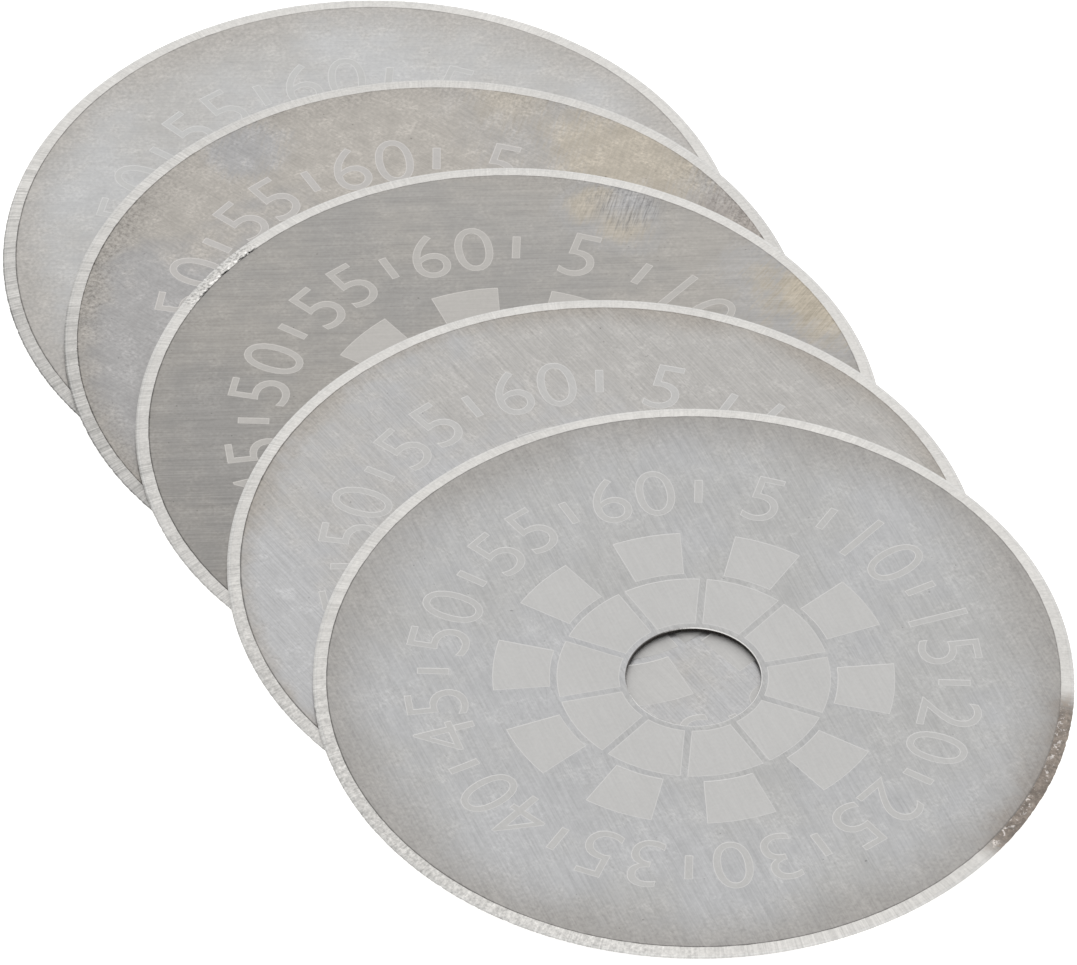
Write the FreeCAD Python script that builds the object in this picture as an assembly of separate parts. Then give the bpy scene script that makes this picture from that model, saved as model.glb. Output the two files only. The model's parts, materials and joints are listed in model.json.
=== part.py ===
import FreeCAD, Part
import math
import os

# Five loose round blades for a hand-held fabric cutter, fanned in a row, each lying on the
# one behind it. Millimetres, +Z up. The origin is on the bottom blade's bore axis, at its
# underside, and the fan runs towards -Y. A blade is one disc of hardened steel sheet with a
# plain bore in the middle and a cutting edge ground from both faces.

# One blade
blade_diameter = 45.0
blade_thickness = 0.3
bore_diameter = 8.0
bevel_width = 0.78    # width of the ground bevel, across the face
edge_land = 0.02      # height of the strip that grinding leaves at the cutting edge
bore_break = 0.04     # how far the bore's two corners are broken

# How the blades lie
film_gap = 0.05       # the film of oil between one blade's top face and the next one's underside

# Each blade from the bottom up, and where its axis lies from the axis of the blade beneath:
# sideways along +X, then forwards along -Y
fan = [
    ("bottom_blade", 0.0, 0.0),
    ("second_blade", 0.0, 8.50),
    ("third_blade", 0.24, 9.29),
    ("fourth_blade", -0.42, 13.16),
    ("top_blade", 0.18, 10.97),
]

full_turn = 360.0


def blade_section():
    # Half of a blade's section in the XZ plane, from the bore to the cutting edge
    bore = bore_diameter / 2
    rim = blade_diameter / 2
    flat_end = rim - bevel_width
    top = blade_thickness
    edge_low = (blade_thickness - edge_land) / 2
    edge_high = (blade_thickness + edge_land) / 2
    corners = [
        (bore, bore_break),
        (bore + bore_break, 0.0),
        (flat_end, 0.0),
        (rim, edge_low),
        (rim, edge_high),
        (flat_end, top),
        (bore + bore_break, top),
        (bore, top - bore_break),
    ]
    points = [FreeCAD.Vector(x, 0.0, z) for x, z in corners]
    return Part.Face(Part.makePolygon(points + points[:1]))


def make_blade(x, y, z):
    # One blade with its bore axis at x, y and its underside at z
    disc = blade_section().revolve(FreeCAD.Vector(), FreeCAD.Vector(0.0, 0.0, 1.0), full_turn)
    disc.translate(FreeCAD.Vector(x, y, z))
    return disc


def fan_places():
    # The name and the place of every blade, worked up the pile
    x, y, z = 0.0, 0.0, 0.0
    for name, sideways, forwards in fan:
        x += sideways
        y -= forwards
        yield name, x, y, z
        z += blade_thickness + film_gap


os.makedirs("parts", exist_ok=True)
for name, x, y, z in fan_places():
    blade = make_blade(x, y, z)
    blade.exportStep(f"parts/{name}.step")
    print(f"{name}: axis at {x:.2f}, {y:.2f}, underside at {z:.2f}, {blade.Volume:.1f} mm3")
print(f"fan length {blade_diameter + math.hypot(x, y):.2f} mm")
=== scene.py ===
import bpy
import bmesh
import json
import math
from mathutils import Matrix, Vector, noise


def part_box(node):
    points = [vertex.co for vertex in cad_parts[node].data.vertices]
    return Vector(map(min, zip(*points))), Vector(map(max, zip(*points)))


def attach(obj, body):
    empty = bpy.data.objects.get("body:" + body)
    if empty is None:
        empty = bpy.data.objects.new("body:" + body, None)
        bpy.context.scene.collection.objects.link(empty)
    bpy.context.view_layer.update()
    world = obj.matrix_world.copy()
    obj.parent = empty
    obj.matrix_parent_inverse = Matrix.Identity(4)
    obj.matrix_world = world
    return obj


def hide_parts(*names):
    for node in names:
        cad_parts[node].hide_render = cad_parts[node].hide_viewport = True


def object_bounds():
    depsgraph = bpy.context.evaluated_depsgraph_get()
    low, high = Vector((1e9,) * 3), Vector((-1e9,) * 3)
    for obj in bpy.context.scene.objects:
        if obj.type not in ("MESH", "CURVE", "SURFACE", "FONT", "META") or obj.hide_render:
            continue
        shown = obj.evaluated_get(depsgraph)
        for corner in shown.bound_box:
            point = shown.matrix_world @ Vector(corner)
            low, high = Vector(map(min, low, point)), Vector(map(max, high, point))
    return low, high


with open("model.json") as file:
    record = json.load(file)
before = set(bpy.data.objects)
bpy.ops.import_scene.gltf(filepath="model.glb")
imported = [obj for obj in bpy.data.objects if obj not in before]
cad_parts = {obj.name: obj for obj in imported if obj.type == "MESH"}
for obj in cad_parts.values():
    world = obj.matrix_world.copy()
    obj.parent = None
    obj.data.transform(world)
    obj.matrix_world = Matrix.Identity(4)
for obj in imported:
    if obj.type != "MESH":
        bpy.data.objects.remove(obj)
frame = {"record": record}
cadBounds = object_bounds()
record = frame["record"]
mm = 0.001                           # a millimetre in scene units
up = Vector((0, 0, 1))
tiny, joinWithin = 1e-5, 1e-4        # points nearer than this, in millimetres, become one
level, nearlyLevel = 0.9999, 0.99    # how upright the normal of a flat face is


def seatOf(node):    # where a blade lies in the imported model, in millimetres
    low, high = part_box(node)
    bores = [m for m in record["mounts"] if m["name"] == node + "_bore"]
    return {
        "x": (low.x + high.x) / 2 / mm,
        "y": (low.y + high.y) / 2 / mm,
        "underside": low.z / mm,
        "thick": (high.z - low.z) / mm,
        "rim": (high.y - low.y) / 2 / mm,
        "bore": bores[0]["dims"]["r_mm"],
    }


# The blank, about its own axis, in millimetres: punched, then ground and honed from both faces
blank = {
    "turns": 1440,         # steps round the disc
    "bevelWidth": 0.78,    # the whole ground band
    "honedWidth": 0.21,    # the steeper band honed at the cutting edge
    "honedDrop": 0.049,    # how far the honed band falls
    "edgeLand": 0.012,     # what is left upright at the cutting edge
    "boreBreak": 0.05,     # rounding of the bore's corners
    "boreRings": 3,        # steps in that rounding
    "faceParts": 4,        # pieces that each flat is cut in
    "bandRows": (0.06, 0.35, 0.7),    # rows of faces across the wide band, as shares of it
    "sharp": 2.5,          # degrees past which an edge between two faces shows
    "sharpAtBore": 35,     # and the same near the bore, whose corners are rounded
}

# The material slots of every blade
finishOrder = ["face", "ground", "etched", "etchLip", "punched", "rolled"]


def blankSection(seat):    # the section as (radius, height), from the bore up and round
    top, rim, bore = seat["thick"], seat["rim"], seat["bore"]
    corner, rings = blank["boreBreak"], blank["boreRings"]
    edge = (top + blank["edgeLand"]) / 2
    flatEnd = rim - blank["bevelWidth"]
    honed = rim - blank["honedWidth"]
    honedTop = edge + blank["honedDrop"]
    turns = [math.pi / 2 * step / rings for step in range(rings + 1)]
    upper = [(bore + corner * (1 - math.cos(t)), top - corner * (1 - math.sin(t))) for t in turns]
    upper.append((flatEnd, top))
    for share in blank["bandRows"]:
        upper.append((flatEnd + (honed - flatEnd) * share, top + (honedTop - top) * share))
    upper.append((honed, honedTop))
    upper.append((rim - blank["honedWidth"] / 2, edge + blank["honedDrop"] / 2))
    upper.append((rim, edge))
    lower = [(r, top - z) for r, z in reversed(upper)]
    return upper + lower


def sectorOf(face):    # which of the flat's parts a face belongs to
    middle = face.calc_center_median()
    return int(math.atan2(middle.y, middle.x) % math.tau / math.tau * blank["faceParts"])


def makeBlank(seat):
    bm = bmesh.new()
    ring = [bm.verts.new((r, 0, z)) for r, z in blankSection(seat)]
    edges = [bm.edges.new((a, b)) for a, b in zip(ring, ring[1:] + ring[:1])]
    bmesh.ops.spin(bm, geom=ring + edges, cent=(0, 0, 0), axis=up, angle=math.tau,
                   steps=blank["turns"], use_merge=True)
    bmesh.ops.remove_doubles(bm, verts=bm.verts, dist=tiny)
    bmesh.ops.recalc_face_normals(bm, faces=bm.faces)
    for side in (1, -1):
        flats = [f for f in bm.faces if f.normal.z * side > level]
        sectors = [sectorOf(f) for f in flats]
        for n in range(blank["faceParts"]):
            share = [f for f, sector in zip(flats, sectors) if sector == n]
            bmesh.ops.dissolve_faces(bm, faces=share, use_verts=False)
    return bm


# The etched marks: a plain cog round the bore, and a dial of numbers
marks = {
    "cogTeeth": 10,
    "cogInner": 4.4, "cogOuter": 8.1,       # the inner ring of blocks
    "toothInner": 8.5, "toothOuter": 11.9,  # the teeth outside it
    "toothShare": 0.56,                     # how much of its pitch a tooth takes
    "slit": 0.4,                            # plain steel between the blocks
    "numbers": 12, "numberStep": 5,
    "digitHeight": 3.8, "digitTurn": 10.6,  # turn, in degrees, from one digit to the next
    "numberRadius": 15.4,
    "thinner": 0.02,                        # taken off each side of the font's strokes
    "tickLength": 1.9, "tickWidth": 0.5,    # one tick between each two numbers
    "depth": 0.014,                         # how deep the etch bites
    "lip": 0.05,                            # width of its sloping edge
    "shortest": 0.04,                       # shorter sides of a digit are merged
    "tall": 0.2,                            # how far the cutters stand out of the face
    "topAngle": 76.0,                       # where the first number stands
    "blockSteps": 12, "curveSteps": 6,      # steps along a block's arc and in a digit's curves
    "fontShare": 0.7,                       # the font's digits are this much of its size
}


def blockShape(inner, outer, span, slit):    # one block of a ring, with parallel slits beside it
    bm = bmesh.new()
    steps = marks["blockSteps"]
    rows = []
    for radius in (inner, outer):
        half = math.radians(span) / 2 - math.asin(slit / 2 / radius)
        turns = [half * (2 * n / steps - 1) for n in range(steps + 1)]
        rows.append([bm.verts.new(Matrix.Rotation(t, 3, "Z") @ Vector((radius, 0, 0))) for t in turns])
    edges = [bm.edges.new(pair) for row in rows for pair in zip(row, row[1:])]
    bmesh.ops.bridge_loops(bm, edges=edges)
    return bm


def tickShape():
    bm = bmesh.new()
    bmesh.ops.create_grid(bm, x_segments=1, y_segments=1, size=0.5)
    bmesh.ops.scale(bm, vec=(marks["tickLength"], marks["tickWidth"], 1), verts=bm.verts)
    bmesh.ops.translate(bm, vec=(marks["numberRadius"], 0, 0), verts=bm.verts)
    return bm


def digitShape(digit):
    letter = bpy.data.curves.new("digit", "FONT")
    letter.body = digit
    letter.size = marks["digitHeight"] / marks["fontShare"]
    letter.align_x = "CENTER"
    letter.offset = -marks["thinner"]
    letter.resolution_u = marks["curveSteps"]
    holder = bpy.data.objects.new("digit", letter)
    bpy.context.collection.objects.link(holder)
    graph = bpy.context.evaluated_depsgraph_get()
    flat = bpy.data.meshes.new_from_object(holder.evaluated_get(graph))
    bm = bmesh.new()
    bm.from_mesh(flat)
    bpy.data.objects.remove(holder)
    bpy.data.meshes.remove(flat)
    bpy.data.curves.remove(letter)
    outwards = marks["numberRadius"] - marks["digitHeight"] / 2
    bmesh.ops.translate(bm, vec=(0, outwards, 0), verts=bm.verts)
    quarter = Matrix.Rotation(-math.pi / 2, 3, "Z")
    bmesh.ops.rotate(bm, cent=(0, 0, 0), matrix=quarter, verts=bm.verts)
    bmesh.ops.remove_doubles(bm, verts=bm.verts, dist=marks["shortest"])
    return bm


def stamp(tool, shape, middle, top):    # raises a flat shape into a punch and adds it to the tool
    bmesh.ops.remove_doubles(shape, verts=shape.verts, dist=joinWithin)
    raised = bmesh.ops.extrude_face_region(shape, geom=shape.faces[:], use_keep_orig=True)["geom"]
    lifted = [v for v in raised if isinstance(v, bmesh.types.BMVert)]
    bmesh.ops.translate(shape, vec=(0, 0, marks["depth"] + marks["tall"]), verts=lifted)
    bmesh.ops.translate(shape, vec=(0, 0, top - marks["depth"]), verts=shape.verts)
    turned = Matrix.Rotation(math.radians(middle), 3, "Z")
    bmesh.ops.rotate(shape, cent=(0, 0, 0), matrix=turned, verts=shape.verts)
    bmesh.ops.recalc_face_normals(shape, faces=shape.faces)
    if shape.calc_volume(signed=True) < 0:
        bmesh.ops.reverse_faces(shape, faces=shape.faces)
    mesh = bpy.data.meshes.new("stamp")
    shape.to_mesh(mesh)
    shape.free()
    tool.from_mesh(mesh)
    bpy.data.meshes.remove(mesh)


def makeMarks(top):
    tool = bmesh.new()
    pitch = 360 / marks["cogTeeth"]
    for n in range(marks["cogTeeth"]):
        middle = marks["topAngle"] + n * pitch
        block = blockShape(marks["cogInner"], marks["cogOuter"], pitch, marks["slit"])
        tooth = blockShape(marks["toothInner"], marks["toothOuter"], pitch * marks["toothShare"], 0)
        stamp(tool, block, middle, top)
        stamp(tool, tooth, middle, top)
    turn = 360 / marks["numbers"]
    for n in range(marks["numbers"]):
        middle = marks["topAngle"] - n * turn
        stamp(tool, tickShape(), middle - turn / 2, top)
        digits = str(marks["numberStep"] * (n or marks["numbers"]))
        for place, digit in enumerate(digits):
            aside = (len(digits) - 1) / 2 - place
            stamp(tool, digitShape(digit), middle + aside * marks["digitTurn"], top)
    return tool


def asObject(name, bm):
    mesh = bpy.data.meshes.new(name)
    bm.to_mesh(mesh)
    bm.free()
    made = bpy.data.objects.new(name, mesh)
    bpy.context.collection.objects.link(made)
    return made


def etchedBlank(seat):    # the blank with the marks bitten into its top, as a mesh
    plate = asObject("plate", makeBlank(seat))
    cutter = asObject("cutter", makeMarks(seat["thick"]))
    bite = plate.modifiers.new("etch", "BOOLEAN")
    bite.operation = "DIFFERENCE"
    bite.solver = "EXACT"
    bite.object = cutter
    graph = bpy.context.evaluated_depsgraph_get()
    bitten = bpy.data.meshes.new_from_object(plate.evaluated_get(graph))
    for spare in (plate, cutter):
        bpy.data.objects.remove(spare)
    bm = bmesh.new()
    bm.from_mesh(bitten)
    bpy.data.meshes.remove(bitten)
    slopeEdges(bm, seat["thick"])
    return bm


def layFlat(bm, outline):    # fills a level outline, holes and all, with faces that look up
    laid = bmesh.ops.triangle_fill(bm, use_beauty=True, normal=up, edges=outline)["geom"]
    for f in [f for f in laid if isinstance(f, bmesh.types.BMFace)]:
        f.normal_update()
        if f.normal.z < 0:
            f.normal_flip()


def slopeEdges(bm, top):    # the etch's upright walls become narrow slopes; the top face is left open
    floor = top - marks["depth"]
    close = marks["depth"] / 4
    upward = [f for f in bm.faces if f.normal.z > level]
    floors = [f for f in upward if abs(f.calc_center_median().z - floor) < close]
    flats = [f for f in upward if abs(f.calc_center_median().z - top) < close]
    bmesh.ops.inset_region(bm, faces=floors, thickness=marks["lip"], depth=0,
                           use_even_offset=True, use_boundary=True)
    inner = {v for f in floors for v in f.verts}
    rims = [v for v in bm.verts if abs(v.co.z - floor) < close and v not in inner]
    for v in rims:
        v.co.z = top
    inside = set(floors)
    sides = {e for f in floors for e in f.edges}
    outline = [e for e in sides if sum(f in inside for f in e.link_faces) == 1]
    bmesh.ops.delete(bm, geom=floors, context="FACES_KEEP_BOUNDARY")
    layFlat(bm, outline)
    bmesh.ops.delete(bm, geom=flats, context="FACES_KEEP_BOUNDARY")
    bmesh.ops.remove_doubles(bm, verts=bm.verts, dist=joinWithin)
    bmesh.ops.dissolve_degenerate(bm, edges=bm.edges, dist=tiny)


# What each blade has of its own. Angles are in degrees from the +X side, round the blade's axis.
# clock is how far it is turned; numberTone and bandTone dim its numbers and its ground band.
# Teeth and burrs have a middle, a spread and a size; slits, painted shade where a burr stands open,
# a middle and half a width, and scaly and dull stretches a strength too. A stain has its colour,
# place, size and strength, how scratched it is and along which angle. leftBand is how the ground band
# looks at the lower left: how strong its cuts and tears are, its painted shade and the painted shadow
# at its outer edge. lumpy is the stretch of it that the burrs tore, with painted glints on the burrs
# and painted shade between them: its middle and half its width
blades = {
    "bottom_blade": {
        "clock": -2.0, "seed": 11.0, "etch": (0.56, 0.558, 0.55), "numberTone": 1.0,
        "teeth": [(190, 50, 0.08)],
        "leftBand": {"cut": 2.1, "torn": 0.4, "shade": 0.17, "edgeShadow": 0.40},
    },
    "second_blade": {
        "clock": 1.5, "seed": 23.0, "etch": (0.548, 0.53, 0.512), "numberTone": 0.97,
        "teeth": [(195, 45, 0.08)], "burrs": [(152, 9, 0.02)],
        "leftBand": {"cut": 2.0, "torn": 0.4, "shade": 0.14, "edgeShadow": 0.36},
        "stains": [
            ("straw", (17.8, 8.6), 6.5, 0.60, 0.06, 48),
            ("straw", (13.5, 16.2), 3.4, 0.35, 0.10, 48),
            ("blue", (-3.0, 19.6), 3.0, 0.70, 0.0, 48),
            ("brown", (21.4, 0.4), 4.4, 0.55, 0.12, 48),
        ],
        "scaly": [(136, 24, 1.5), (3, 20, 1.25)], "bandTone": 0.94,
    },
    "third_blade": {
        "clock": 0.0, "seed": 37.0, "etch": (0.512, 0.495, 0.472), "numberTone": 0.98,
        "teeth": [(195, 40, 0.06)], "burrs": [(110, 2.5, 0.030), (118, 9, 0.034)],
        "leftBand": {"cut": 1.8, "torn": 0.6, "shade": 0.06, "edgeShadow": 0.25},
        "slits": [(110, 2.6), (115.5, 1.2), (121, 1.6)], "lumpy": (116, 10),
        "scaly": [(46, 16, 0.9)],
        "stains": [
            ("straw", (13.5, 14.6), 2.0, 0.55, 0.14, 48),
            ("straw", (14.2, 12.0), 1.9, 0.55, 0.12, 48),
            ("blue", (15.3, 13.7), 2.3, 0.40, 0.30, 48),
            ("straw", (22.2, 1.0), 4.8, 0.80, 0.20, 29),
        ],
    },
    "fourth_blade": {
        "clock": 2.5, "seed": 41.0, "etch": (0.55, 0.543, 0.532), "numberTone": 0.98,
        "teeth": [(208, 38, 0.07)],
        "leftBand": {"cut": 1.4, "torn": 1.0, "shade": 0.04, "edgeShadow": 0.15},
    },
    "top_blade": {
        "clock": 0.0, "seed": 53.0, "etch": (0.545, 0.54, 0.531), "numberTone": 0.96,
        "teeth": [(-45, 30, 0.06), (163, 14, 0.09), (205, 32, 0.07)],
        "leftBand": {"cut": 1.3, "torn": 1.3, "shade": 0.02, "edgeShadow": 0.15},
        "dull": [(-49, 22, 1.0)],
    },
}

# How unsteady the grinding was, in millimetres and in waves round the disc
grinding = {
    "wander": 0.035, "waves": 3.0,
    "chatter": 0.022, "chatterWaves": 34.0,
    "toothWaves": 85.0, "toothRise": 0.1,    # a higher rise leaves more and deeper nicks
    "burrWaves": 170.0, "burrLeast": 0.3, "burrGain": 1.4,
    "burrFrom": 0.9, "burrTo": 0.99,         # where burrs stand, from the edge, 0, to the flat, 1
    "slack": 0.001,        # how far inside the flat's edge a point still counts as on the band
    "lineSlack": 0.1,      # and how far a face does, because the wheel's line wanders
}


def waver(turn, waves, seed):    # smooth chance variation round the disc, about -1 to 1
    return noise.noise(Vector((math.cos(turn) * waves, math.sin(turn) * waves, seed)))


def nearness(turn, middle, spread):    # 1 at an angle in degrees, falling to 0 at its spread
    gap = abs((math.degrees(turn) - middle + 180) % 360 - 180)
    return max(0.0, 1 - gap / spread) ** 0.5


def roughen(bm, seat, look):    # the wheel's wandering line, its burrs, and nicks in the cutting edge
    flatEnd = seat["rim"] - blank["bevelWidth"]
    seed = look["seed"]
    for v in bm.verts:
        radius = v.co.xy.length
        if radius < flatEnd - grinding["slack"]:
            continue
        turn = math.atan2(v.co.y, v.co.x)
        inward = (seat["rim"] - radius) / blank["bevelWidth"]    # 1 at the flat, 0 at the edge
        shift = grinding["wander"] * waver(turn, grinding["waves"], seed) * inward
        shift += grinding["chatter"] * waver(turn, grinding["chatterWaves"], seed + 5) * inward
        for middle, spread, depth in look.get("teeth", []):
            bite = max(0.0, waver(turn, grinding["toothWaves"], seed + 9) + grinding["toothRise"])
            shift -= depth * nearness(turn, middle, spread) * bite * (1 - inward)
        for middle, spread, height in look.get("burrs", []):
            if grinding["burrFrom"] < inward < grinding["burrTo"] and v.co.z > seat["thick"] / 2:
                lump = abs(waver(turn, grinding["burrWaves"], seed + 13))
                lump = min(1.0, grinding["burrLeast"] + grinding["burrGain"] * lump)
                v.co.z += height * nearness(turn, middle, spread) * lump
        v.co.xy *= (radius + shift) / radius


def nameFinishes(bm, seat):    # which material each face wears
    top, floor = seat["thick"], seat["thick"] - marks["depth"]
    bandStart = seat["rim"] - blank["bevelWidth"] - grinding["lineSlack"]
    for f in bm.faces:
        middle = f.calc_center_median()
        if middle.xy.length > bandStart and abs(f.normal.z) < level:
            f.material_index = finishOrder.index("ground")
        elif middle.xy.length < seat["bore"] + blank["boreBreak"]:
            upper = middle.z > top - blank["boreBreak"]
            f.material_index = finishOrder.index("rolled" if upper else "punched")
        elif abs(middle.z - floor) < marks["depth"] / 4 and f.normal.z > nearlyLevel:
            f.material_index = finishOrder.index("etched")
        elif floor < middle.z < top - marks["depth"] / 10:
            f.material_index = finishOrder.index("etchLip")
    nearBore = seat["bore"] + 1
    for f in bm.faces:
        f.smooth = True
    for e in bm.edges:
        limit = blank["sharpAtBore" if e.verts[0].co.xy.length < nearBore else "sharp"]
        e.smooth = e.is_manifold and e.calc_face_angle(0) < math.radians(limit)


class Signal:    # a number that varies over the surface, for sums
    def __init__(self, finish, socket):
        self.finish, self.socket = finish, socket

    def calc(self, operation, first, second):
        return self.finish.add("ShaderNodeMath", {"operation": operation}, {0: first, 1: second})

    def __add__(self, other):
        return self.calc("ADD", self, other)

    def __sub__(self, other):
        return self.calc("SUBTRACT", self, other)

    def __rsub__(self, other):
        return self.calc("SUBTRACT", other, self)

    def __mul__(self, other):
        return self.calc("MULTIPLY", self, other)

    def __abs__(self):
        return self.calc("ABSOLUTE", self, 0.0)

    __radd__ = __add__
    __rmul__ = __mul__


class Finish:    # the nodes of one material, or of the world
    def __init__(self, owner):
        self.owner = owner
        owner.use_nodes = True
        self.tree = owner.node_tree
        self.tree.nodes.clear()

    def add(self, kind, settings, inputs, output=0):
        node = self.tree.nodes.new(kind)
        for key, value in settings.items():
            setattr(node, key, value)
        for key, value in inputs.items():
            if isinstance(value, Signal):
                self.tree.links.new(value.socket, node.inputs[key])
            else:
                node.inputs[key].default_value = value
        return Signal(self, node.outputs[output]) if node.outputs else None

    def vector(self, operation, inputs, output="Vector"):
        return self.add("ShaderNodeVectorMath", {"operation": operation}, inputs, output)

    def place(self, seat):    # millimetres from the blade's own axis, flattened onto its face
        where = self.add("ShaderNodeTexCoord", {}, {}, "Object")
        return self.add("ShaderNodeMapping", {}, {
            "Vector": where, "Scale": (1 / mm, 1 / mm, 0), "Location": (-seat["x"], -seat["y"], 0)})

    def heading(self, where):    # the direction from the axis, as a unit vector
        return self.vector("NORMALIZE", {0: where})

    def away(self, where, centre=(0, 0)):    # the distance from a point
        return self.vector("DISTANCE", {0: where, 1: (*centre, 0)}, "Value")

    def along(self, where, direction):    # how far a vector reaches along a direction
        return self.vector("DOT_PRODUCT", {0: where, 1: direction}, "Value")

    def within(self, heading, middle, outer, inner):    # 1 inside the inner angle, 0 past the outer
        towards = Vector((math.cos(math.radians(middle)), math.sin(math.radians(middle)), 0))
        limits = [math.cos(math.radians(angle)) for angle in (outer, inner)]
        return self.fade(self.along(heading, towards), *limits)

    def cloud(self, where, scale, seed, detail=2.0, rough=0.5):    # soft chance patches
        moved = self.add("ShaderNodeMapping", {}, {
            "Vector": where, "Location": (seed, seed / 3, seed / 7)})
        return self.add("ShaderNodeTexNoise", {}, {
            "Vector": moved, "Scale": scale, "Detail": detail, "Roughness": rough}, "Fac")

    def grain(self, where, angle, width, length, seed, detail=2.0, rough=0.55):    # streaks
        turn = (0, 0, -math.radians(angle))
        turned = self.add("ShaderNodeMapping", {}, {"Vector": where, "Rotation": turn})
        drawn = self.add("ShaderNodeMapping", {}, {
            "Vector": turned, "Scale": (1 / length, 1 / width, 1)})
        return self.cloud(drawn, 1.0, seed, detail, rough)

    def fade(self, value, start, end, low=0.0, high=1.0):    # a smooth step between two values
        return self.add("ShaderNodeMapRange", {"interpolation_type": "SMOOTHSTEP"}, {
            "Value": value, "From Min": start, "From Max": end, "To Min": low, "To Max": high})

    def tint(self, share, first, second):    # from the first colour to the second
        first, second = (c if isinstance(c, Signal) else (*c, 1) for c in (first, second))
        return self.add("ShaderNodeMix", {"data_type": "RGBA"}, {0: share, 6: first, 7: second}, 2)

    def dim(self, colour, amount):
        return self.vector("SCALE", {0: colour, "Scale": amount})

    def bump(self, height, depth, strength):
        return self.add("ShaderNodeBump", {}, {
            "Height": height, "Distance": depth * mm, "Strength": strength}, "Normal")

    def surface(self, inputs):
        shader = self.add("ShaderNodeBsdfPrincipled", {}, inputs)
        self.add("ShaderNodeOutputMaterial", {}, {"Surface": shader})
        return self.owner

    def metal(self, colour, roughness, normal):
        return self.surface({
            "Base Color": colour, "Roughness": roughness, "Metallic": 1.0, "Normal": normal})


def newFinish(name):
    return Finish(bpy.data.materials.new(name))


# The flat face of each blade: its steel and tarnish colours, the angle it was brushed along, how
# long and how strong the lines are, how strong its fine tooth and its clouds, how much painted light
# brightens it towards the upper right and how much it warms there, how far tarnish has crept in, and
# how scuffed it is
steel = {
    "bottom_blade": {
        "cool": (0.552, 0.552, 0.552), "warm": (0.505, 0.495, 0.480),
        "tarnished": (0.470, 0.449, 0.424),
        "brush": 152, "reach": 2.0, "lines": 0.24, "tooth": 0.44,
        "cloudy": 0.38, "paintedLightSlant": 0.04, "lean": 0.04, "creep": 3.5, "scuffs": 0.6,
    },
    "second_blade": {
        "cool": (0.424, 0.415, 0.411), "warm": (0.450, 0.424, 0.390),
        "tarnished": (0.398, 0.374, 0.345),
        "brush": 115, "reach": 1.6, "lines": 0.34, "tooth": 0.64,
        "cloudy": 0.50, "paintedLightSlant": 0.08, "lean": 0.30, "creep": 2.0, "scuffs": 1.4,
    },
    "third_blade": {
        "cool": (0.345, 0.334, 0.320), "warm": (0.380, 0.362, 0.338),
        "tarnished": (0.350, 0.333, 0.313),
        "brush": 155, "reach": 4.0, "lines": 0.52, "tooth": 0.40,
        "cloudy": 0.22, "paintedLightSlant": 0.15, "lean": 0.0, "creep": 0.8, "scuffs": 0.5,
    },
    "fourth_blade": {
        "cool": (0.506, 0.505, 0.509), "warm": (0.482, 0.468, 0.450),
        "tarnished": (0.400, 0.372, 0.340),
        "brush": 97, "reach": 2.4, "lines": 0.54, "tooth": 0.40,
        "cloudy": 0.24, "paintedLightSlant": 0.0, "lean": 0.10, "creep": 1.8, "scuffs": 1.0,
    },
    "top_blade": {
        "cool": (0.488, 0.489, 0.494), "warm": (0.472, 0.469, 0.462),
        "tarnished": (0.384, 0.369, 0.352),
        "brush": 84, "reach": 2.4, "lines": 0.44, "tooth": 0.36,
        "cloudy": 0.28, "paintedLightSlant": 0.0, "lean": 0.02, "creep": 4.4, "scuffs": 0.8,
    },
}

upperRight = (0.82, 0.57, 0)      # the side towards which painted light brightens every blade, and towards which its steel warms
lowerLeft = (-0.94, -0.34, 0)     # the side where the grinding's cuts and tears show most, and where painted shade on the ground band and at its edges is deepest

# The colours that heat leaves
heat = {
    "straw": (0.500, 0.440, 0.345),
    "blue": (0.395, 0.397, 0.410),
    "brown": (0.372, 0.336, 0.312),
}

# What is alike on every flat face: widths and lengths in millimetres, the rest as shares of tone.
# A scale is how many patches of a pattern lie along a millimetre, or for slits in a radian of turn
wear = {
    "driftScale": 0.11, "mottleScale": 0.75, "speckleScale": 4.6,
    "fleckScale": 4.5, "pitScale": 3.2, "stainScale": 0.3, "slitScale": 60.0,
    "warmFrom": 0.54, "warmTo": 0.84,
    "fineWidth": 0.09, "broadWidth": 0.4, "broadLength": 6.0, "broadShare": 0.3,
    "tearWidth": 0.13, "tearLength": 1.6, "stainRag": 1.4,
    "driftRag": 3.4, "mottleRag": 2.0,                         # how far the tarnish's line strays
    "scuffWidth": 0.07, "scuffLength": 2.4, "scuffTurn": 23, "scuffShine": 0.10,
    "scratchWidth": 0.06, "scratchLength": 3.2, "scratchTurn": -19, "scratchDark": 0.09,
    "scaleReach": 3.2, "dullReach": 1.6, "pitDark": 0.3,
    "edgeShadeLeast": 0.24, "edgeShadeMost": 0.60,                       # painted shade: a thin line just inside the ground edge, least on the upper right and most on the lower left
    "slitHalf": 0.085, "slitWave": 0.22, "slitDark": 0.75,
    "roughness": 0.36, "fineRoughness": 0.18, "mottleRoughness": 0.12, "tarnishRoughness": 0.06,
    "fineDepth": 0.004,
}


def brushed(f, where, look):    # the brushing, and the tone about 1 that it gives
    angle, lines, seed = look["brush"], look["lines"], look["seed"]
    fine = f.grain(where, angle, wear["fineWidth"], look["reach"], seed, 3.0, 0.62)
    broad = f.grain(where, angle, wear["broadWidth"], wear["broadLength"], seed + 2)
    return fine, 1.0 + lines * (fine - 0.5) + wear["broadShare"] * lines * (broad - 0.5)


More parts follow.
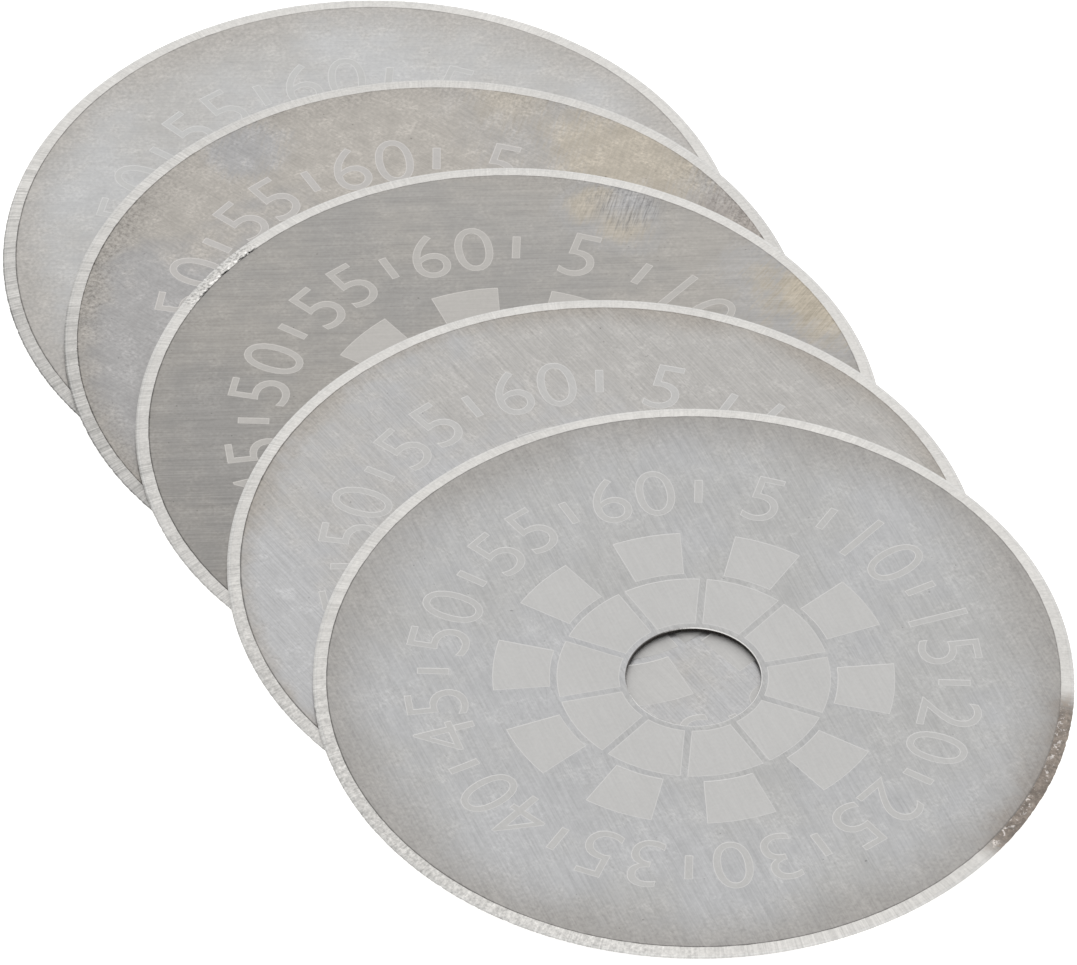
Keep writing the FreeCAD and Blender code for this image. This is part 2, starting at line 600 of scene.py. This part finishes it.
def stained(f, where, colour, tone, look):    # heat stains, scratched through along one way
    for n, (kind, centre, size, strength, scratched, lay) in enumerate(look.get("stains", [])):
        seed = look["seed"] + 3 * n
        torn = f.grain(where, lay, wear["tearWidth"], wear["tearLength"], seed, 4.0, 0.7)
        stray = f.cloud(where, wear["stainScale"], seed, 4.0, 0.6) + torn - 1.0
        ragged = f.away(where, centre) + wear["stainRag"] * size * stray
        body = f.fade(ragged, size * 1.1, size * 0.35)
        if kind == "straw":
            fringe = f.fade(ragged, size * 1.5, size * 1.0)
            colour = f.tint(fringe * (0.5 * strength), colour, heat["blue"])
        colour = f.tint(body * strength, colour, heat[kind])
        tone = tone - body * f.fade(torn, 0.60, 0.36, -0.3 * scratched, scratched)
    return colour, tone


def slitShade(f, radius, heading, flatEnd, look):    # painted shade where a burr at the flat's edge stands open
    shade = 0.0
    for n, (middle, halfWidth) in enumerate(look["slits"]):
        wave = f.cloud(heading, wear["slitScale"], look["seed"] + n, 2.0) - 0.5
        line = radius - flatEnd - 0.02 + wear["slitWave"] * wave
        gap = f.fade(abs(line), wear["slitHalf"], 0.03)
        shade = gap * f.within(heading, middle, halfWidth, halfWidth / 2) + shade
    return shade


def faceFinish(node, seat, look):
    f = newFinish(node + "Face")
    where = f.place(seat)
    seed = look["seed"]
    flatEnd = seat["rim"] - blank["bevelWidth"]
    radius, heading = f.away(where), f.heading(where)
    fine, tone = brushed(f, where, look)
    drift = f.cloud(where, wear["driftScale"], seed + 5, 3.0)
    mottle = f.cloud(where, wear["mottleScale"], seed + 7, 5.0, 0.62)
    speckle = f.cloud(where, wear["speckleScale"], seed + 9, 2.0, 0.6)
    lean = look["lean"] / 10 * f.along(where, upperRight)
    warm = f.fade(drift + 0.4 * mottle + lean, wear["warmFrom"], wear["warmTo"])
    ragged = radius + wear["driftRag"] * (drift - 0.5) + wear["mottleRag"] * (mottle - 0.5)
    tarnish = f.fade(ragged, flatEnd - look["creep"], flatEnd + 0.5)
    colour = f.tint(tarnish, f.tint(warm, look["cool"], look["warm"]), look["tarnished"])
    uneven = f.fade(mottle + 0.2 * tarnish, 0.40, 0.66, 0.5, 1.4)
    tone = tone + look["cloudy"] * (mottle - 0.5) + look["tooth"] * uneven * (speckle - 0.5)
    # painted light: the face brightens towards the upper right and darkens towards the lower left
    if look["paintedLightSlant"]:
        tone = tone + look["paintedLightSlant"] / seat["rim"] * f.along(where, upperRight)
    angle = look["brush"] + wear["scuffTurn"]
    scuff = f.grain(where, angle, wear["scuffWidth"], wear["scuffLength"], seed + 11, 1.0)
    scuff = scuff * f.fade(mottle, 0.42, 0.6)
    tone = tone + f.fade(scuff, 0.52, 0.66, 0.0, wear["scuffShine"] * look["scuffs"])
    angle = look["brush"] + wear["scratchTurn"]
    scratch = f.grain(where, angle, wear["scratchWidth"], wear["scratchLength"], seed + 12, 1.0)
    tone = tone - f.fade(scratch, 0.66, 0.78, 0.0, wear["scratchDark"] * look["scuffs"])
    for middle, halfWidth, strength in look.get("scaly", []):    # flecks beside the ground edge
        reach = f.within(heading, middle, halfWidth, 0)
        reach = reach * f.fade(radius + 3.0 * (mottle - 0.5), flatEnd - wear["scaleReach"], flatEnd)
        flecks = f.cloud(where, wear["fleckScale"], seed + 15, 3.0, 0.75)
        tone = tone + strength * reach * (flecks - 0.54)
    colour, tone = stained(f, where, colour, tone, look)
    pits = f.cloud(where, wear["pitScale"], seed + 13, 1.0)
    pits = f.fade(pits, 0.225, 0.19, 0.0, wear["pitDark"])
    # painted shade: darkening just inside the ground band's edge, strongest on the lower left
    edgeShadeDepth = f.fade(f.along(heading, lowerLeft), -0.5, 0.5, wear["edgeShadeLeast"], wear["edgeShadeMost"])
    line = f.fade(radius, flatEnd - 0.12, flatEnd - 0.02) * edgeShadeDepth
    for middle, halfWidth, strength in look.get("dull", []):    # the scale reaches a little way in
        patchy = dullShare(f, heading, mottle, speckle, middle, halfWidth)
        inner = flatEnd - wear["dullReach"]
        rimwards = f.fade(radius + 2.4 * (mottle - 0.5), inner, flatEnd + 0.2, 0.0, 0.5 * strength)
        colour = f.tint(patchy * rimwards, colour, ground["dull"])
    tone = tone - pits - line
    if "slits" in look:
        # painted shade in the slits where burrs stand open
        tone = tone - wear["slitDark"] * slitShade(f, radius, heading, flatEnd, look)
    roughness = wear["roughness"] + wear["fineRoughness"] * (fine - 0.5)
    roughness = roughness + wear["mottleRoughness"] * (mottle - 0.5)
    roughness = roughness + wear["tarnishRoughness"] * tarnish
    return f.metal(f.dim(colour, tone), roughness, f.bump(fine, wear["fineDepth"], 0.4))


# The ground band: fine cuts straight out from the middle, with a honed edge
ground = {
    "bevel": (0.66, 0.645, 0.62), "honed": (0.64, 0.63, 0.61),
    "dull": (0.262, 0.226, 0.196), "flake": (0.66, 0.62, 0.59),
    "cutWidth": 0.10,     # from one cut to the next, in millimetres at the edge
    "deepWidth": 0.45,    # from one deep cut to the next
    "boldScale": 5.0, "driftScale": 2.4,      # patches in a radian of turn
    "mottleScale": 1.6, "gritScale": 5.5,     # and these along a millimetre
    "tornScale": 3.8, "flakeScale": 3.6, "lumpScale": 4.0,
    "cuts": 0.46, "deepCuts": 0.18, "grit": 0.36, "drift": 0.22, "mottle": 0.12,
    "seam": 0.06,         # the faint line where the honed band starts
    "lumpGlints": 0.55, "lumpShade": 0.30, "slitDark": 0.8,    # the torn stretch with burrs: painted glints on the lumps, painted shade between them and in the slits
    "flakes": 0.9,
    "roughness": 0.40, "cutDepth": 0.008,
}


def dullShare(f, heading, coarse, fine, middle, halfWidth):    # where grinding left the scale on
    near = f.within(heading, middle, halfWidth, halfWidth / 2)
    return f.fade(near + 0.8 * (coarse - 0.5) + 0.6 * (fine - 0.5), 0.12, 0.95)


def groundFinish(node, seat, look):
    f = newFinish(node + "Ground")
    where = f.place(seat)
    seed, rim = look["seed"], seat["rim"]
    radius, heading = f.away(where), f.heading(where)
    cuts = f.cloud(heading, rim / ground["cutWidth"], seed, 2.0, 0.65)
    deep = f.cloud(heading, rim / ground["deepWidth"], seed + 1, 2.0, 0.6)
    bold = f.cloud(heading, ground["boldScale"], seed + 2, 2.0)
    drift = f.cloud(heading, ground["driftScale"], seed + 3, 4.0, 0.6)
    mottle = f.cloud(where, ground["mottleScale"], seed + 4, 4.0, 0.6)
    grit = f.cloud(where, ground["gritScale"], seed + 5, 2.0, 0.6)
    ridge = rim - blank["honedWidth"]
    seam = f.fade(radius, ridge - 0.07, ridge - 0.01) * f.fade(radius, ridge + 0.05, ridge)
    colour = f.tint(f.fade(radius, ridge - 0.03, ridge + 0.03), ground["bevel"], ground["honed"])
    left, leftward = look["leftBand"], f.along(heading, lowerLeft)
    cutting = f.fade(leftward, -0.6, 0.8, 0.7, left["cut"]) * f.fade(bold, 0.35, 0.62, 0.6, 1.1)
    tone = look.get("bandTone", 1.0) - seam * ground["seam"]
    tone = tone + (ground["cuts"] * (cuts - 0.5) + ground["deepCuts"] * (deep - 0.5)) * cutting
    tone = tone + ground["drift"] * (drift - 0.5) + ground["mottle"] * (mottle - 0.5)
    tone = tone + ground["grit"] * (grit - 0.5)
    torn = f.cloud(where, ground["tornScale"], seed + 8, 3.0, 0.75) - 0.5
    tone = tone + f.fade(leftward, 0.45, 0.95, 0.0, left["torn"]) * torn
    # painted shadow along the band's outer edge and painted shade over the band, both on the lower
    # left
    edgeShadowShare = f.fade(leftward, 0.3, 0.8, 0.0, left["edgeShadow"])
    tone = tone - f.fade(radius, rim - 0.13, rim - 0.05) * edgeShadowShare
    tone = tone - f.fade(leftward, 0.3, 0.95, 0.0, left["shade"])
    for middle, halfWidth, strength in look.get("dull", []):
        patchy = dullShare(f, heading, mottle, grit, middle, halfWidth)
        colour = f.tint(patchy * strength, colour, ground["dull"])
        flakes = f.fade(f.cloud(where, ground["flakeScale"], seed + 6, 3.0, 0.7), 0.555, 0.64)
        flakes = flakes * f.fade(radius, rim - 0.10, rim - 0.45, 0.05, ground["flakes"])
        colour = f.tint(patchy * flakes, colour, ground["flake"])
        tone = tone + patchy * (1.5 * (mottle - 0.5) + 0.8 * (grit - 0.5))
    if "slits" in look:
        flatEnd = rim - blank["bevelWidth"]
        middle, halfWidth = look["lumpy"]
        # painted highlights on the burrs' lumps, and painted shade in the hollows between them
        lumpGlints = f.fade(f.cloud(where, ground["lumpScale"], seed + 7, 2.0), 0.48, 0.62)
        lumpGlints = lumpGlints * f.fade(radius, flatEnd + 0.45, flatEnd + 0.1)
        glintsAndShade = ground["lumpGlints"] * lumpGlints - ground["lumpShade"] * f.fade(grit, 0.52, 0.40)
        tone = tone + f.within(heading, middle, halfWidth, halfWidth * 0.6) * glintsAndShade
        # painted shade in the same slits, on the ground band
        tone = tone - ground["slitDark"] * slitShade(f, radius, heading, flatEnd, look)
    return f.metal(f.dim(colour, tone), ground["roughness"], f.bump(cuts, ground["cutDepth"], 0.5))


etching = {
    "frostScale": 4.5, "patchScale": 0.3, "lipFrostScale": 6.0,
    "frost": 0.14, "patches": 0.08,                  # how uneven the bitten floor is
    "fineLines": 1 / 3,                              # how much of the brushing still shows in it
    "lipHighlight": 1.12, "lipFrost": (0.93, 1.07),       # the sloping edge of a mark is painted paler: a painted highlight on the slope
    "roughness": 0.55, "lipRoughness": 0.5,
}


def etchedFinish(node, seat, look):
    f = newFinish(node + "Etched")
    where = f.place(seat)
    fine, tone = brushed(f, where, {**look, "lines": look["lines"] * etching["fineLines"]})
    frost = f.cloud(where, etching["frostScale"], look["seed"] + 3, 3.0, 0.6)
    patch = f.cloud(where, etching["patchScale"], look["seed"] + 4, 3.0, 0.6)
    faint = f.fade(f.away(where), marks["toothOuter"], marks["toothOuter"] + 0.5)
    colour = f.tint(faint, look["etch"], tuple(c * look["numberTone"] for c in look["etch"]))
    tone = tone + etching["frost"] * (frost - 0.5) + etching["patches"] * (patch - 0.5)
    return f.metal(f.dim(colour, tone), etching["roughness"], f.bump(frost, 0.004, 0.3))


def lipFinish(node, seat, look):
    f = newFinish(node + "EtchLip")
    where = f.place(seat)
    frost = f.cloud(where, etching["lipFrostScale"], look["seed"] + 3, 3.0, 0.6)
    # painted highlight: the etch's sloping edge is made paler than its floor
    tones = [etching["lipHighlight"] * share for share in etching["lipFrost"]]
    pale = f.tint(frost, *(tuple(c * tone for c in look["etch"]) for tone in tones))
    return f.metal(pale, etching["lipRoughness"], f.bump(frost, 0.003, 0.3))


punching = {
    # painted shade: the bore's wall near black with paler torn streaks; a painted highlight for its
    # upper corner
    "boreShadow": (0.012, 0.011, 0.010), "torn": (0.060, 0.054, 0.050), "rimGlint": (0.80, 0.79, 0.77),
    "unlitSide": (-0.50, 0.87, 0),                    # the side of the bore's upper corner left in painted shade, without the painted highlight
    "tearScale": 60.0, "rolledTearScale": 40.0,    # tears in a radian of turn
    "roughness": 0.5, "rolledRoughness": 0.35,
}


def punchedShadeFinish(node, seat, look):    # the wall of the bore as the punch left it, torn, and painted near black for the shade inside the bore
    f = newFinish(node + "PunchedShade")
    heading = f.heading(f.place(seat))
    tears = f.cloud(heading, punching["tearScale"], look["seed"], 3.0, 0.6)
    colour = f.tint(f.fade(tears, 0.3, 0.7), punching["boreShadow"], punching["torn"])
    return f.metal(colour, punching["roughness"], f.bump(tears, 0.02, 0.6))


def rolledGlintFinish(node, seat, look):    # the bore's upper corner, with a painted highlight on one side and painted shade on the other
    f = newFinish(node + "RolledGlint")
    heading = f.heading(f.place(seat))
    tears = f.cloud(heading, punching["rolledTearScale"], look["seed"], 3.0, 0.6)
    far = f.along(heading, punching["unlitSide"]) + 0.5 * (tears - 0.5)
    colour = f.tint(f.fade(far, 0.90, 0.45, 0.05, 1.0), punching["torn"], punching["rimGlint"])
    return f.metal(colour, punching["rolledRoughness"], f.bump(tears, 0.01, 0.4))


makers = {"face": faceFinish, "ground": groundFinish, "etched": etchedFinish,
          "etchLip": lipFinish, "punched": punchedShadeFinish, "rolled": rolledGlintFinish}
pattern = asObject("pattern", etchedBlank(seatOf("bottom_blade")))
print("blank etched:", len(pattern.data.polygons), "faces")

for node, look in blades.items():
    seat = seatOf(node)
    look = {**look, **steel[node]}
    bm = bmesh.new()
    bm.from_mesh(pattern.data)
    clocked = Matrix.Rotation(math.radians(look["clock"]), 3, "Z")
    bmesh.ops.rotate(bm, cent=(0, 0, 0), matrix=clocked, verts=bm.verts)
    roughen(bm, seat, look)
    layFlat(bm, [e for e in bm.edges if e.is_boundary])
    nameFinishes(bm, seat)
    bmesh.ops.translate(bm, vec=(seat["x"], seat["y"], seat["underside"]), verts=bm.verts)
    bmesh.ops.scale(bm, vec=(mm, mm, mm), verts=bm.verts)
    words = node.split("_")
    piece = asObject(words[0] + words[1].capitalize(), bm)
    for finish in finishOrder:
        piece.data.materials.append(makers[finish](node, seat, look))
    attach(piece, node)
    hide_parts(node)
    print(piece.name, "made:", len(piece.data.polygons), "faces")

bpy.data.objects.remove(pattern)


studio = {
    "floorHalf": 6.0,              # metres from the middle to the floor's edge
    "floorGap": 0.02,              # millimetres left under the blades
    "floorColour": (0.92, 0.92, 0.915, 1), "floorGlow": 0.66,
    "skyLevel": 1.70,              # brightness of the room at the horizon
    "skyDrop": 0.67,               # how much darker it is straight overhead
    "skySide": 0.13,               # how much brighter it is towards the right
    "lampPower": 1.8, "lampSize": 0.9, "lampHeight": 1.4,
}

aim = {
    "azimuth": -27.75, "elevation": 45.37, "roll": 0.37,   # degrees
    "distance": 0.8288, "nearest": 0.01, "farthest": 50,   # metres
    "lens": 461.35, "sensor": 36.0,
    "aside": (0.00004, -0.00098, -0.00085),     # from the model's middle to the point aimed at
}


def makeFloor():
    bm = bmesh.new()
    bmesh.ops.create_grid(bm, x_segments=1, y_segments=1, size=studio["floorHalf"])
    height = cadBounds[0].z - studio["floorGap"] * mm
    bmesh.ops.translate(bm, vec=(0, 0, height), verts=bm.verts)
    floor = asObject("floor", bm)
    floor.data.materials.append(newFinish("paleFloor").surface({
        "Base Color": studio["floorColour"], "Roughness": 0.9, "Specular IOR Level": 0.1,
        "Emission Color": studio["floorColour"], "Emission Strength": studio["floorGlow"]}))


def cameraAxes():
    a, e, roll = (math.radians(aim[k]) for k in ("azimuth", "elevation", "roll"))
    back = Vector((math.sin(a) * math.cos(e), -math.cos(a) * math.cos(e), math.sin(e)))
    side = Vector((math.cos(a), math.sin(a), 0))
    above = back.cross(side)
    right = math.cos(roll) * side + math.sin(roll) * above
    return right, math.cos(roll) * above - math.sin(roll) * side, back


def makeLight():    # a pale room, darker overhead, and one large soft lamp
    world = bpy.data.worlds.new("studio")
    bpy.context.scene.world = world
    f = Finish(world)
    view = f.add("ShaderNodeTexCoord", {}, {}, "Generated")
    slope = cameraAxes()[0] * studio["skySide"] - up * studio["skyDrop"]
    glow = f.add("ShaderNodeBackground", {}, {"Strength": f.along(view, slope) + studio["skyLevel"]})
    f.add("ShaderNodeOutputWorld", {}, {"Surface": glow})
    lamp = bpy.data.lights.new("softLamp", "AREA")
    lamp.energy = studio["lampPower"]
    lamp.size = studio["lampSize"]
    softLamp = bpy.data.objects.new("softLamp", lamp)
    softLamp.location = (0, cadBounds[0].y, studio["lampHeight"])
    bpy.context.collection.objects.link(softLamp)


def makeCamera():
    right, top, back = cameraAxes()
    middle = (cadBounds[0] + cadBounds[1]) / 2 + Vector(aim["aside"])
    lens = bpy.data.cameras.new("camera")
    lens.lens, lens.sensor_width = aim["lens"], aim["sensor"]
    lens.clip_start, lens.clip_end = aim["nearest"], aim["farthest"]
    camera = bpy.data.objects.new("camera", lens)
    turn = Matrix((right, top, back)).transposed().to_4x4()
    camera.matrix_world = Matrix.Translation(middle + back * aim["distance"]) @ turn
    bpy.context.collection.objects.link(camera)
    bpy.context.scene.camera = camera


makeFloor()
makeLight()
makeCamera()
bpy.context.scene.view_settings.view_transform = "Standard"
print("floor, light and camera set")
